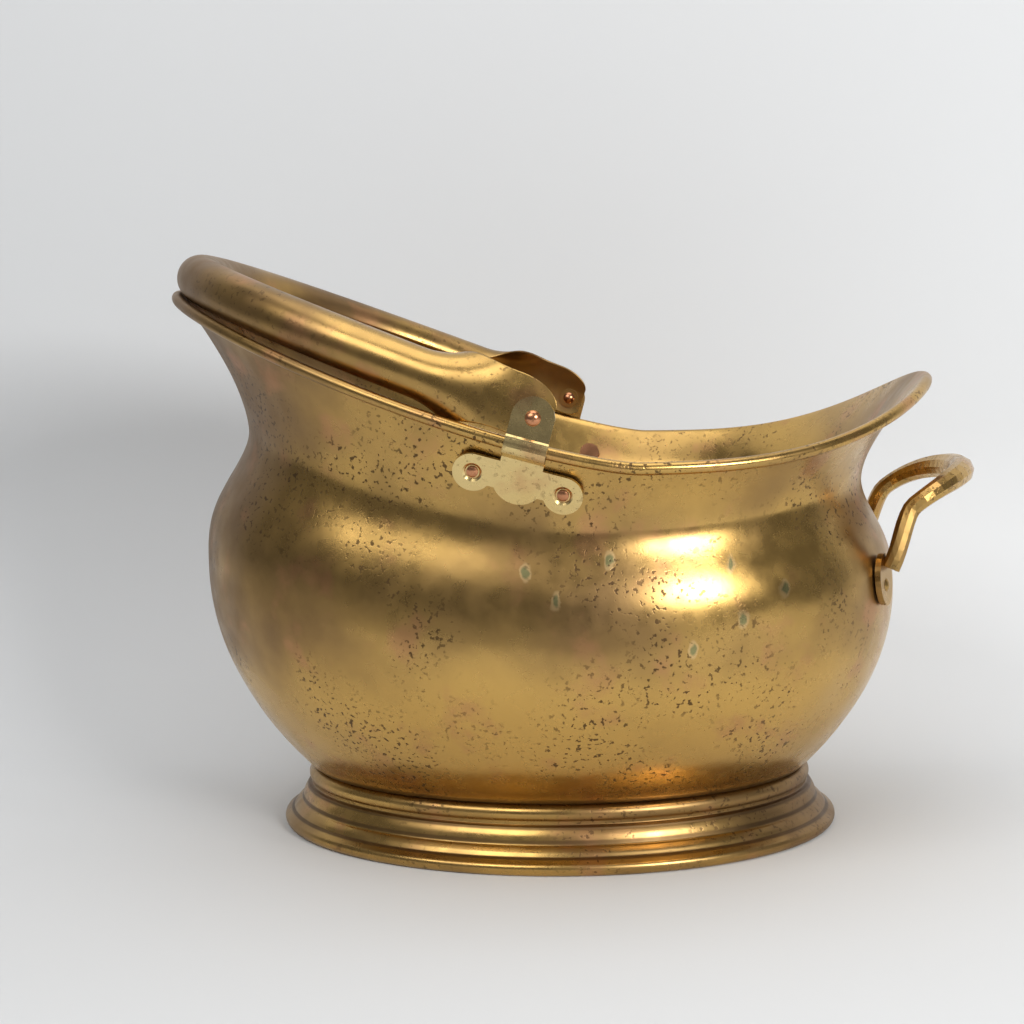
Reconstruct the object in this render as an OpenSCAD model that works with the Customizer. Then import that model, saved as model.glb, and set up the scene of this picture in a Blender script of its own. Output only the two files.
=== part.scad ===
// Helmet coal scuttle: a raised brass bowl with a wired rim, a moulded oval foot,
// a swinging bail hung from two riveted brackets and a cast tipping handle behind.
// Millimetres. +Z is up, the pouring lip points to -X, the foot stands on Z = 0.
// Lengths ahead of and behind the middle are measured from the middle of the foot.

/* [Sheet and wire] */
// Thickness of the sheet of the bowl
sheet = 1.2; // [0.8:0.1:1.6]
// Thickness of the sheet of the bail
bail_sheet = 1.4; // [1.0:0.1:1.8]
// Radius of the wire in the rim
rim_wire_r = 1.7; // [1.2:0.1:2.0]
// Radius of the wire in the lower edge of the foot
foot_wire_r = 2.2; // [1.5:0.1:2.4]
// Clearance round a wire inside its roll
wire_gap = 0.2; // [0.1:0.05:0.4]

/* [Mouth] */
// Reach of the front lip, to the middle of the rim wire
lip_front = 203; // [196:1:212]
// Reach of the rear lip, to the middle of the rim wire
lip_rear = 202; // [196:1:210]
// Half width of the mouth, to the middle of the rim wire
lip_side = 156; // [152:1:162]
// Squareness of the mouth in plan, 2 is an ellipse
lip_square = 2.14; // [2.0:0.02:2.3]
// Height of the rim wire at its lowest place
rim_low = 206; // [202:1:212]
// Distance of that lowest place behind the middle
rim_low_x = 50; // [40:1:60]
// Rise of the rim from its lowest place to the front lip
rim_rise_front = 89.5; // [84:0.5:95]
// Rise of the rim from its lowest place to the rear lip
rim_rise_rear = 37.5; // [30:0.5:42]
// How late the rim rises towards the front
rim_late_front = 1.35; // [1.25:0.05:1.5]
// How late the rim rises towards the rear
rim_late_rear = 3.0; // [2.5:0.1:3.4]

/* [Bowl] */
// Reach of the neck to the front
neck_front = 166.5; // [160:0.5:172]
// Reach of the neck to the rear
neck_rear = 168.5; // [162:0.5:174]
// Half width of the neck
neck_side = 140; // [136:0.5:143]
// Height of the neck at the sides
neck_low = 174; // [170:1:178]
// Rise of the neck to the front
neck_rise_front = 49; // [44:1:54]
// Rise of the neck to the rear
neck_rise_rear = 16; // [12:1:20]
// Reach of the belly to the front
belly_front = 191.5; // [186:0.5:196]
// Reach of the belly to the rear
belly_rear = 184.5; // [180:0.5:190]
// Half width of the belly
belly_side = 150; // [146:0.5:154]
// Height of the belly's widest line at the sides
belly_low = 122; // [116:1:128]
// Rise of the belly's widest line to the front
belly_rise_front = 27; // [22:1:32]
// Rise of the belly's widest line to the rear
belly_rise_rear = 9; // [5:1:13]
// Reach of the bowl's bottom edge to the front and rear
bottom_long = 139.5; // [136:0.5:142]
// Half width of the bowl's bottom edge
bottom_side = 102; // [99:0.5:104]
// Squareness of the belly and neck in plan
bowl_square = 2.15; // [2.0:0.05:2.3]
// How late the neck draws in above the belly
tuck = 1.5; // [1.2:0.1:1.8]
// How late the mouth flares above the neck
flare = 1.6; // [1.4:0.1:1.9]
// Width of the flat flange turned in under the bowl
bowl_flange = 12; // [9:0.5:14]
// Thickness of the oval plate that closes the bottom
plate_t = 1.5; // [1.0:0.1:2.0]
// Height of the plate's turned up edge
plate_edge = 6; // [4:0.5:9]
// Distance from the bowl's bottom edge in to the plate's edge
plate_inset = 3.5; // [3:0.1:5]

/* [Foot] */
// Half length of the foot on the floor
foot_long = 154.7; // [152:0.1:158]
// Half width of the foot on the floor
foot_side = 117.2; // [115:0.1:121]
// Height of the foot, up to the bowl
foot_h = 32.5; // [30:0.5:35]
// Radius of the round moulding under the bowl
bead_r = 5; // [4.4:0.1:5.4]
// Distance from the foot's edge in to the middle of that moulding
bead_in = 19.2; // [18.6:0.1:19.8]
// Radius of the rolled lower edge
roll_r = 3.7; // [3.6:0.1:3.9]
// Width of the flat worn along the lower edge
worn_w = 2; // [1.5:0.1:2.4]
// Width of the flange turned in on top of the foot
foot_flange = 7; // [5:0.5:9]

/* [Bail] */
// How far the bail's flattened ends stand out beyond the middle of the rim wire
bail_proud = 1.2; // [1.0:0.1:1.8]
// Reach of the bail from its pivots, to the outside of its tube
bail_reach = 218; // [216:0.5:219]
// Squareness of the bail's bow, 2 is an ellipse
bail_square = 2.2; // [2.1:0.05:2.3]
// Outer radius of the tube
tube_r = 12.5; // [11.5:0.1:12.8]
// Width of the open seam on the inside of the tube
seam_w = 0.8; // [0.5:0.1:1.5]
// Angle of the bail above the horizontal where it lies on the lip
bail_rest = 21.3; // [21.2:0.1:23]
// Distance of the pivots behind the middle
pivot_x = 1.6; // [0:0.1:4]
// Height of the pivots above the rim wire
pivot_rise = 14.8; // [14.6:0.1:17]
// Distance from a pivot to the end of the bail behind it
end_behind = 8.3; // [7.5:0.1:8.4]
// Width of a flattened end above its pivot
end_above = 18.3; // [17:0.1:20]
// Width of a flattened end below its pivot
end_below = 10.8; // [9.5:0.1:10.8]
// Radius to which the flattened ends are dished
dish_r = 60; // [50:1:90]
// Distance from a pivot to where the end starts to close into the tube
open_from = 16; // [13:1:20]
// Distance from a pivot to where the end is curled to the tube's radius
curled_at = 62; // [56:1:70]
// Distance from a pivot to where the tube is closed
open_to = 88; // [78:1:95]

/* [Brackets] */
// Thickness of a bracket
bracket_t = 2; // [1.6:0.1:2.4]
// Width of a bracket's strap
strap_w = 20.4; // [18:0.2:23]
// Tilt of a bracket, which follows the rim
bracket_tilt = 15.5; // [13:0.5:18]
// Distance from the pivot down to the line of the two rivets
rivet_drop = 31.6; // [30:0.2:34]
// Distance between the two rivets
rivet_gap = 44; // [40:0.5:48]
// Radius of a bracket's ears
ear_r = 9.5; // [8:0.1:10.5]
// Radius of the middle lobe of a bracket
lobe_r = 12.5; // [11:0.1:14]
// Distance from the line of rivets up to the middle of that lobe
lobe_up = 2; // [1:0.1:3]
// Clearance between the strap and the rim's roll
strap_gap = 0.6; // [0.5:0.05:0.9]
// Clearance between a bracket's plate and the bowl
plate_gap = 0.5; // [0.5:0.05:0.7]

/* [Rivets] */
// Radius of a bracket rivet's shank
rivet_r = 2.8; // [2.4:0.1:3.0]
// Radius of a bracket rivet's flat head inside the bowl
rivet_head_r = 6; // [5:0.1:6.5]
// Thickness of that head
rivet_head_t = 1.2; // [0.8:0.1:1.6]
// Radius of the countersink round a bracket rivet
sink_r = 4.8; // [4.2:0.1:5.2]
// Radius of a pivot rivet's shank
pin_r = 2.5; // [2.2:0.1:2.7]
// Radius of a pivot rivet's outer head
pin_head_r = 3.7; // [3.4:0.1:4.5]
// Height of a pivot rivet's outer head
pin_head_h = 1.9; // [1.4:0.1:2.4]
// Radius of a pivot rivet's peened inner end
pin_end_r = 3.6; // [3.4:0.1:4.2]
// Height of that inner end
pin_end_h = 1.6; // [1.2:0.1:2.0]
// Radius of the washer inside a flattened end
washer_r = 5.9; // [5.2:0.1:6.4]
// Thickness of that washer
washer_t = 1.2; // [0.9:0.1:1.6]
// Clearance round a rivet's shank
rivet_gap_r = 0.06; // [0.03:0.01:0.09]
// Clearance between two faces that slide or lie on each other
face_gap = 0.3; // [0.25:0.05:0.4]

/* [Tipping handle] */
// Distance of each palm from the middle line
palm_side = 60; // [56:0.5:64]
// Height of the palms' middles
palm_z = 141; // [138:0.5:144]
// Height of a palm
palm_h = 27; // [24:0.5:30]
// Width of a palm
palm_w = 19; // [17:0.5:22]
// Thickness of a palm
palm_t = 3; // [2.5:0.1:3.6]
// Distance of the handle's shoulders behind the middle
shoulder_x = 190; // [188:0.5:193]
// Height of the handle's shoulders
shoulder_z = 179; // [176:0.5:182]
// Distance of the grip's middle behind the middle of the foot
grip_x = 221.5; // [218:0.5:225]
// Height of the grip's middle
grip_z = 194; // [191:0.5:198]
// Radius of the grip
grip_r = 6.8; // [6.2:0.1:7.4]
// Radius of the handle's legs
leg_r = 4.8; // [4.2:0.1:5.2]
// Radius of a palm rivet's shank
palm_rivet_r = 2.2; // [1.8:0.1:2.5]
// Radius of a palm rivet's head
palm_head_r = 3.6; // [3.2:0.1:4.2]
// Distance of a palm rivet below the palm's middle
palm_rivet_drop = 3; // [2:0.1:4]

/* [Hidden] */
$fn = 48;

// Steps round the bowl, the foot and a small tube
bowl_steps = 64;
foot_steps = 60;
wire_sides = 6;
// Outer and inner radius of the rim's roll, and the angle at which the sheet runs into it
roll_in = rim_wire_r + wire_gap;
roll_out = roll_in + sheet;
roll_start = 145;
roll_end = -130;
// The part stands with the middle of its box over the origin
frame_x = (lip_front + roll_out - grip_x - grip_r) / 2;
bail_side = lip_side + bail_proud;
eps = 0.01;

brass = [0.66, 0.51, 0.28];
dark_brass = [0.52, 0.40, 0.22];
copper = [0.75, 0.46, 0.33];
iron = [0.35, 0.33, 0.31];

// Plain helpers
function mix(p, q, t) = p + (q - p) * t;
function unit(v) = v / norm(v);
function signed_power(v, e) = sign(v) * pow(abs(v), e);
function ease(t) = t <= 0 ? 0 : t >= 1 ? 1 : t * t * (3 - 2 * t);

// A closed oval in plan, with its own reach to the front and to the rear
function oval(front, rear, side, square, a) = [
    (cos(a) < 0 ? front : rear) * signed_power(cos(a), 2 / square),
    side * signed_power(sin(a), 2 / square), 0];
function oval_out(front, rear, side, square, a) =
    let (t = oval(front, rear, side, square, a + 0.5) - oval(front, rear, side, square, a - 0.5))
    unit([t.y, -t.x, 0]);
// A height that is lowest at one place and rises to the front and to the rear
function saddle(x, front, rear, low_x, low, rise_f, late_f, rise_r, late_r) =
    x < low_x ? low + rise_f * pow((low_x - x) / (low_x + front), late_f)
              : low + rise_r * pow((x - low_x) / (rear - low_x), late_r);

// Middle of the rim wire at plan angle a, and the two directions across it
function rim_z(x) = saddle(x, lip_front, lip_rear, rim_low_x, rim_low,
    rim_rise_front, rim_late_front, rim_rise_rear, rim_late_rear);
function rim_mid(a) =
    let (p = oval(lip_front, lip_rear, lip_side, lip_square, a)) [p.x, p.y, rim_z(p.x)];
function rim_out(a) = oval_out(lip_front, lip_rear, lip_side, lip_square, a);
function rim_up(a) = unit(cross(rim_out(a), rim_mid(a + 0.5) - rim_mid(a - 0.5)));
function round_rim(a, r, phi) = rim_mid(a) + r * (cos(phi) * rim_out(a) + sin(phi) * rim_up(a));

// The bowl's neck, belly and bottom edge at plan angle a
bowl_low_x = 20;
bowl_late_front = 1.5;
bowl_late_rear = 2;
function neck(a) =
    let (p = oval(neck_front, neck_rear, neck_side, bowl_square, a))
    [p.x, p.y, saddle(p.x, neck_front, neck_rear, bowl_low_x, neck_low,
        neck_rise_front, bowl_late_front, neck_rise_rear, bowl_late_rear)];
function belly(a) =
    let (p = oval(belly_front, belly_rear, belly_side, bowl_square, a))
    [p.x, p.y, saddle(p.x, belly_front, belly_rear, bowl_low_x, belly_low,
        belly_rise_front, bowl_late_front, belly_rise_rear, bowl_late_rear)];
function bottom(a, inset, z) =
    oval(bottom_long, bottom_long, bottom_side, 2, a)
    - inset * oval_out(bottom_long, bottom_long, bottom_side, 2, a) + [0, 0, z];

// Between two rings the plan follows one share and the height another
function between(p, q, share, rise) = [mix(p.x, q.x, share), mix(p.y, q.y, share), mix(p.z, q.z, rise)];
// The corner between the bowl's wall and its bottom flange
corner_h = 1.6;
corner_in = 2;
function lower_wall(a, u) = between(bottom(a, 0, foot_h + corner_h), belly(a), 1 - pow(1 - u, 2), u);
function middle_wall(a, u) = between(belly(a), neck(a), (1 - cos(180 * pow(u, tuck))) / 2, u);
function upper_wall(a, u) = between(neck(a), round_rim(a, roll_in, roll_start), pow(u, flare), u);

// The outside of the bowl's sheet from its flange to where it meets the rim wire
wall_steps = 6;
function outside(a) = concat(
    [bottom(a, bowl_flange, foot_h), bottom(a, corner_in, foot_h)],
    [for (k = [0 : wall_steps - 1]) lower_wall(a, k / wall_steps)],
    [for (k = [0 : wall_steps - 1]) middle_wall(a, k / wall_steps)],
    [for (k = [0 : wall_steps]) upper_wall(a, k / wall_steps)]);
// Normal of the outside at row j, from its neighbours along and across the sheet
function wall_normal(a, j) =
    let (here = outside(a), n = len(here) - 1,
         up = here[min(j + 1, n)] - here[max(j - 1, 0)],
         round = outside(a + 1)[j] - outside(a - 1)[j])
    unit(cross(round, up));
function inside(a) = let (here = outside(a))
    [for (j = [0 : len(here) - 1]) here[j] - sheet * wall_normal(a, j)];

// One closed section of the bowl: up the outside, round the wire and down the inside
roll_steps = 9;
function rolled(a, r) = [for (k = [1 : roll_steps]) round_rim(a, r, mix(roll_start, roll_end, k / roll_steps))];
function reversed(list) = [for (k = [len(list) - 1 : -1 : 0]) list[k]];
function bowl_section(a) = concat(outside(a), rolled(a, roll_in), reversed(rolled(a, roll_out)),
    reversed(inside(a)));

// Triangles between closed sections that run round a closed ring
function ring_faces(n, m) = [for (i = [0 : n - 1], j = [0 : m - 1])
    let (a = i * m + j, b = i * m + (j + 1) % m, c = ((i + 1) % n) * m + (j + 1) % m,
         d = ((i + 1) % n) * m + j)
    each [[a, b, c], [a, c, d]]];
// Triangles between closed sections along an open path, with both ends closed
function path_faces(n, m) = concat(
    [for (i = [0 : n - 2], j = [0 : m - 1])
        let (a = i * m + j, b = i * m + (j + 1) % m, c = (i + 1) * m + (j + 1) % m, d = (i + 1) * m + j)
        each [[a, b, c], [a, c, d]]],
    [for (j = [0 : m / 2 - 2]) each
        [[j, m - 1 - j, j + 1], [j + 1, m - 1 - j, m - 2 - j]]],
    [for (j = [0 : m / 2 - 2]) let (e = (n - 1) * m) each
        [[e + j, e + j + 1, e + m - 1 - j], [e + j + 1, e + m - 2 - j, e + m - 1 - j]]]);
function flat(lists) = [for (list = lists) each list];

// Half width of the flaring wall at distance x behind the middle and height z
function side_wall(x, z) =
    let (a = 90 - asin(signed_power(x / (x < 0 ? neck_front : neck_rear), bowl_square / 2)),
         low = neck(a), top = round_rim(a, roll_in, roll_start))
    mix(low.y, top.y, pow(max(0, (z - low.z) / (top.z - low.z)), flare));

// The pivots
pivot_z = rim_z(pivot_x) + pivot_rise;
bead_drop = pivot_rise * cos(bracket_tilt);
// Half width of the wall at a place in the bracket's tilted frame
function wall_under(x, z) = side_wall(pivot_x + x * cos(bracket_tilt) + z * sin(bracket_tilt),
    pivot_z - x * sin(bracket_tilt) + z * cos(bracket_tilt));
// The bracket's flat plate rests on the wall at its fold and at the foot of its lobe
strap_d = bail_side + face_gap;
fold_below = 3.5;
fold_z = -bead_drop - roll_out - fold_below;
lobe_z = -rivet_drop - lobe_up - lobe_r;
wall_at_fold = max([for (x = [-1 : 1]) wall_under(x * strap_w / 2, fold_z)]);
plate_lean = atan((wall_at_fold - wall_under(0, lobe_z)) / (fold_z - lobe_z));
plate_d = wall_under(0, lobe_z) - (lobe_z + rivet_drop) * tan(plate_lean) + plate_gap / cos(plate_lean);
function plate_face(z) = plate_d + (z + rivet_drop) * tan(plate_lean);

// Outline of the strap seen from its edge: inner face down, then outer face up
hug_r = roll_out + strap_gap;
hug_top = acos((strap_d - lip_side) / hug_r);
hug_top_out = acos((strap_d + bracket_t - lip_side) / (hug_r + bracket_t));
hug_low = -50;
hug_steps = 8;
function hug(r, from, to) = [for (k = [0 : hug_steps])
    let (phi = mix(from, to, k / hug_steps)) [lip_side + r * cos(phi), r * sin(phi) - bead_drop]];
strap_low = -rivet_drop + 3;
plate_step = bracket_t / cos(plate_lean);
strap_outline = concat(
    [[strap_d, strap_w / 2]],
    hug(hug_r, hug_top, hug_low),
    [[plate_face(fold_z), fold_z], [plate_face(strap_low), strap_low]],
    [[plate_face(strap_low) + plate_step, strap_low], [plate_face(fold_z) + plate_step, fold_z]],
    hug(hug_r + bracket_t, hug_low, hug_top_out),
    [[strap_d + bracket_t, strap_w / 2]]);

// The bail lies in a plane through both pivots, turned up by its rest angle
bail_dir = [-cos(bail_rest), 0, sin(bail_rest)];
bail_up = [sin(bail_rest), 0, cos(bail_rest)];
bail_n = 20;
end_n = 7;
curve_from = 12;
end_corner = 7;
corner_mid = 12;
// Places along half the bail, each as distance ahead of the pivot and distance from the middle
function bow(a) = [bail_reach * pow(sin(a), 2 / bail_square), bail_side * pow(cos(a), 2 / bail_square)];
bow_from = asin(pow(curve_from / bail_reach, bail_square / 2));
half_bow = concat(
    [for (k = [0 : end_n - 1])
        [mix(-end_behind, curve_from, 1 - cos(90 * k / end_n)), bail_side]],
    [for (k = [0 : bail_n]) bow(mix(bow_from, 90, k / bail_n))]);
bow_last = len(half_bow) - 1;
bow_count = 2 * bow_last + 1;
function bow_place(i) = i <= bow_last ? [half_bow[i].x, -half_bow[i].y]
    : [half_bow[bow_count - 1 - i].x, half_bow[bow_count - 1 - i].y];
function bow_out(i) =
    let (t = bow_place(min(i + 1, bow_count - 1)) - bow_place(max(i - 1, 0)))
    unit([t.y, -t.x]);
// Curvature of the sheet's section and its width above and below, closing into the tube
function closing(s) = ease((s - open_from) / (open_to - open_from));
function curling(s) = ease((s - open_from) / (curled_at - open_from));
function section_r(s) = 1 / mix(1 / dish_r, 1 / tube_r, curling(s));
half_tube = PI * tube_r - seam_w / 2;
function width_above(s) =
    s < corner_mid
    ? end_corner + (end_above - end_corner) * sqrt(1 - pow((corner_mid - s) / (corner_mid + end_behind + 0.2), 2))
    : mix(end_above, half_tube, closing(s));
function width_below(s) =
    s < 0 ? sqrt(pow(end_below, 2) - s * s) : mix(end_below, half_tube, closing(s));
section_n = 15;
function bail_point(i, r_cut, w) =
    let (p = bow_place(i), out = bow_out(i), r = section_r(p.x), phi = w / r * 180 / PI,
         in_plane = p - out * r + out * (r - r_cut) * cos(phi))
    [pivot_x, 0, pivot_z] + in_plane.x * bail_dir + [0, in_plane.y, 0]
    + (r - r_cut) * sin(phi) * bail_up;
function bail_section(i) =
    let (s = bow_place(i).x, low = -width_below(s), high = width_above(s))
    concat([for (k = [0 : section_n - 1]) bail_point(i, 0, mix(high, low, k / (section_n - 1)))],
        [for (k = [0 : section_n - 1]) bail_point(i, bail_sheet, mix(low, high, k / (section_n - 1)))]);

// The foot's sheet in section: distance in from the edge, and height
worn_angle = asin(worn_w / 2 / roll_r);
roll_mid_z = roll_r * cos(worn_angle);
function roll_point(phi) = [roll_r - roll_r * cos(phi), roll_mid_z + roll_r * sin(phi)];
bead_z = foot_h - bead_r;
function bead_point(phi) = [bead_in - bead_r * cos(phi), bead_z + bead_r * sin(phi)];
foot_line = concat(
    [for (phi = [-220, -180, -140]) roll_point(phi)],
    [roll_point(-90 - worn_angle), roll_point(-90 + worn_angle)],
    [for (phi = [-40, 0, 40]) roll_point(phi)],
    [[4.2, 8.2], [5.2, 8.9], [6.4, 10.8], [8.3, 12.7], [9.6, 13.6], [10.4, 15.6], [11.4, 18.2]],
    [[12.8, 20.6], [13.6, 21.8], [15.4, 22.6]],
    [for (phi = [-38, -8, 22, 56, 90]) bead_point(phi)],
    [[bead_in + foot_flange, foot_h]]);
function line_normal(line, j) =
    let (t = line[min(j + 1, len(line) - 1)] - line[max(j - 1, 0)]) unit([t.y, -t.x]);
function foot_at(a, p) =
    oval(foot_long, foot_long, foot_side, 2, a)
    - p.x * oval_out(foot_long, foot_long, foot_side, 2, a) + [0, 0, p.y];
foot_inner = [for (j = [0 : len(foot_line) - 1]) foot_line[j] + sheet * line_normal(foot_line, j)];
function foot_section(a) = [for (p = concat(foot_line, reversed(foot_inner))) foot_at(a, p)];

// The tipping handle: half of it is two curves, from a palm up to a shoulder and on to the grip
function wall_angle(side) = asin(pow(side / belly_side, bowl_square / 2));
palm_turn = wall_angle(palm_side);
palm_u = (palm_z - belly(palm_turn).z) / (neck(palm_turn).z - belly(palm_turn).z);
palm_foot = middle_wall(palm_turn, palm_u);
palm_out = unit(cross(middle_wall(palm_turn + 1, palm_u) - middle_wall(palm_turn - 1, palm_u),
    middle_wall(palm_turn, palm_u + 0.03) - middle_wall(palm_turn, palm_u - 0.03)));
palm_turn_z = atan2(palm_out.y, palm_out.x);
palm_tip_up = asin(palm_out.z);
leg_start = palm_foot + palm_out * (plate_gap + leg_r + 0.3) + [0, 0, palm_h * 0.2];
shoulder = [shoulder_x, palm_side - 3, shoulder_z];
grip = [grip_x, 0, grip_z];
function bezier(p, q, r, s, t) = mix(mix(mix(p, q, t), mix(q, r, t), t), mix(mix(q, r, t), mix(r, s, t), t), t);
function leg_path(t) = bezier(leg_start, leg_start + [6, 0, 12], shoulder - [6, 0, 5], shoulder, t);
function grip_path(t) = bezier(shoulder, shoulder + [15, 0, 12], grip + [0, 34, 0], grip, t);
leg_n = 8;
grip_n = 12;
half_path = concat([for (k = [0 : leg_n - 1]) leg_path(k / leg_n)], [for (k = [0 : grip_n]) grip_path(k / grip_n)]);
half_radius = concat([for (k = [0 : leg_n - 1]) leg_r],
    [for (k = [0 : grip_n]) mix(leg_r, grip_r, ease(k / grip_n * 1.2))]);
handle_path = concat([for (p = half_path) p], [for (k = [len(half_path) - 2 : -1 : 0])
    [half_path[k].x, -half_path[k].y, half_path[k].z]]);
handle_radius = concat(half_radius, [for (k = [len(half_radius) - 2 : -1 : 0]) half_radius[k]]);
handle_sides = 10;
function handle_section(i) =
    let (n = len(handle_path) - 1, t = unit(handle_path[min(i + 1, n)] - handle_path[max(i - 1, 0)]),
         across = unit(cross(t, [-1, 0, 2.2])), up = cross(across, t))
    [for (k = [0 : handle_sides - 1]) let (phi = 360 * (k + 0.5) / handle_sides)
        handle_path[i] + handle_radius[i] * (cos(phi) * across + sin(phi) * up)];

module in_frame() translate([frame_x, 0, 0]) children();
module on_side(side) mirror([0, side > 0 ? 0 : 1, 0]) children();
module at_pivot() translate([pivot_x, 0, pivot_z]) rotate([0, bracket_tilt, 0]) children();
// A place on a bracket's plate, with Z pointing out of the bowl
module on_plate(x) at_pivot() translate([x, plate_d, -rivet_drop]) rotate([-90 - plate_lean, 0, 0]) children();
// A place on a palm, with Z pointing out of the bowl
module on_palm(drop) translate(palm_foot + palm_out * plate_gap) rotate([0, 0, palm_turn_z])
    rotate([0, 90 - palm_tip_up, 0]) translate([drop, 0, 0]) children();
module dome(r, h) {
    ball = (r * r + h * h) / (2 * h);
    intersection() {
        translate([0, 0, h - ball]) sphere(ball);
        cylinder(h = 2 * h, r = r + 1);
    }
}

// How deep the far side of a bracket rivet's inner head lies, and how far the wall falls back under a palm
wall_drop = [for (x = [-1, 1]) plate_d - wall_under(x * (rivet_gap / 2 + rivet_head_r), -rivet_drop)];
rivet_deep = max(wall_drop) * cos(plate_lean) + sheet + wire_gap;
palm_fall = 0.6;

module body_shell() {
    sections = [for (i = [0 : bowl_steps - 1]) bowl_section(360 * i / bowl_steps)];
    in_frame() color(brass) difference() {
        polyhedron(flat(sections), ring_faces(bowl_steps, len(sections[0])));
        for (side = [-1, 1]) on_side(side) {
            for (x = [-1, 1]) on_plate(x * rivet_gap / 2)
                translate([0, 0, -12]) cylinder(h = 24, r = rivet_r + rivet_gap_r);
            on_palm(palm_rivet_drop) translate([0, 0, -8]) cylinder(h = 16, r = palm_rivet_r + rivet_gap_r);
        }
    }
}

module rim_wire() {
    points = [for (i = [0 : bowl_steps - 1], k = [0 : wire_sides - 1])
        round_rim(360 * i / bowl_steps, rim_wire_r, 360 * k / wire_sides)];
    in_frame() color(iron) polyhedron(points, ring_faces(bowl_steps, wire_sides));
}

module base_plate() {
    outline = [for (i = [0 : bowl_steps - 1]) let (p = bottom(360 * i / bowl_steps, plate_inset, 0)) [p.x, p.y]];
    hollow = [for (i = [0 : bowl_steps - 1])
        let (p = bottom(360 * i / bowl_steps, plate_inset + plate_t, 0)) [p.x, p.y]];
    in_frame() color(dark_brass) translate([0, 0, foot_h + sheet]) difference() {
        linear_extrude(plate_edge) polygon(outline);
        translate([0, 0, plate_t]) linear_extrude(plate_edge) polygon(hollow);
    }
}

module foot_ring() {
    sections = [for (i = [0 : foot_steps - 1]) foot_section(360 * i / foot_steps)];
    in_frame() color(brass) polyhedron(flat(sections), ring_faces(foot_steps, len(sections[0])));
}

module foot_wire() {
    middle = [roll_r, roll_mid_z];
    points = [for (i = [0 : foot_steps - 1], k = [0 : wire_sides - 1])
        let (phi = -360 * k / wire_sides)
        foot_at(360 * i / foot_steps, middle + foot_wire_r * [cos(phi), sin(phi)])];
    in_frame() color(iron) polyhedron(points, ring_faces(foot_steps, wire_sides));
}

module bail_handle() {
    sections = [for (i = [0 : bow_count - 1]) bail_section(i)];
    in_frame() color(brass) difference() {
        polyhedron(flat(sections), path_faces(bow_count, 2 * section_n));
        translate([pivot_x, 0, pivot_z]) rotate([90, 0, 0])
            cylinder(h = 2 * bail_side + 20, r = pin_r + rivet_gap_r, center = true);
    }
}

module bracket(side) {
    in_frame() on_side(side) color(brass) difference() {
        union() {
            at_pivot() difference() {
                rotate([90, 0, 90]) linear_extrude(strap_w, center = true) polygon(strap_outline);
                // The top of the strap is round about the pivot
                translate([0, strap_d - 1, 0]) rotate([-90, 0, 0]) difference() {
                    translate([-strap_w, -strap_w, 0]) cube([2 * strap_w, strap_w, bracket_t + 2]);
                    cylinder(h = 20, r = strap_w / 2, center = true);
                }
            }
            on_plate(0) linear_extrude(bracket_t) union() {
                for (x = [-1, 1]) translate([x * rivet_gap / 2, 0]) circle(ear_r);
                translate([0, -lobe_up]) circle(lobe_r);
                translate([-rivet_gap / 2, -ear_r]) square([rivet_gap, 1.5 * ear_r]);
            }
        }
        at_pivot() translate([0, strap_d, 0]) rotate([90, 0, 0])
            cylinder(h = 20, r = pin_r + rivet_gap_r, center = true);
        for (x = [-1, 1]) on_plate(x * rivet_gap / 2) {
            translate([0, 0, -5]) cylinder(h = 10, r = rivet_r + rivet_gap_r);
            translate([0, 0, bracket_t / 2]) cylinder(h = bracket_t / 2 + eps, r1 = rivet_r + 0.6, r2 = sink_r);
        }
    }
}

module bracket_rivets(side) {
    in_frame() on_side(side) color(copper) for (x = [-1, 1]) on_plate(x * rivet_gap / 2) {
        translate([0, 0, -rivet_deep - rivet_head_t]) cylinder(h = rivet_head_t, r = rivet_head_r);
        translate([0, 0, -rivet_deep - eps]) cylinder(h = rivet_deep + bracket_t - 0.2 + eps, r = rivet_r);
        translate([0, 0, bracket_t - 0.2 - eps]) dome(rivet_r, 0.9);
    }
}

// Distances of the pivot's pieces from the middle, from the inside out
washer_out = bail_side - bail_sheet - face_gap - pow(washer_r, 2) / (2 * dish_r);
washer_in = washer_out - washer_t;
module on_pivot(side, d) in_frame() on_side(side) translate([pivot_x, d, pivot_z]) rotate([-90, 0, 0]) children();

module pivot_rivet(side) {
    outer = strap_d + bracket_t + 0.05;
    inner = washer_in - 0.05;
    color(copper) {
        on_pivot(side, inner) cylinder(h = outer - inner, r = pin_r);
        on_pivot(side, outer - eps) dome(pin_head_r, pin_head_h);
        on_pivot(side, inner + eps) mirror([0, 0, 1]) dome(pin_end_r, pin_end_h);
    }
}

module pivot_washer(side) {
    color(dark_brass) on_pivot(side, washer_in) difference() {
        cylinder(h = washer_t, r = washer_r);
        translate([0, 0, -1]) cylinder(h = washer_t + 2, r = pin_r + rivet_gap_r);
    }
}

module tipping_handle() {
    points = flat([for (i = [0 : len(handle_path) - 1]) handle_section(i)]);
    oval_points = [for (k = [0 : 31]) [palm_h / 2 * cos(360 * k / 32), palm_w / 2 * sin(360 * k / 32)]];
    in_frame() color(brass) difference() {
        union() {
            polyhedron(points, path_faces(len(handle_path), handle_sides));
            for (side = [-1, 1]) on_side(side) on_palm(0) linear_extrude(palm_t) polygon(oval_points);
        }
        for (side = [-1, 1]) on_side(side) on_palm(palm_rivet_drop)
            translate([0, 0, -2]) cylinder(h = palm_t + 4, r = palm_rivet_r + rivet_gap_r);
    }
}

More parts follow.
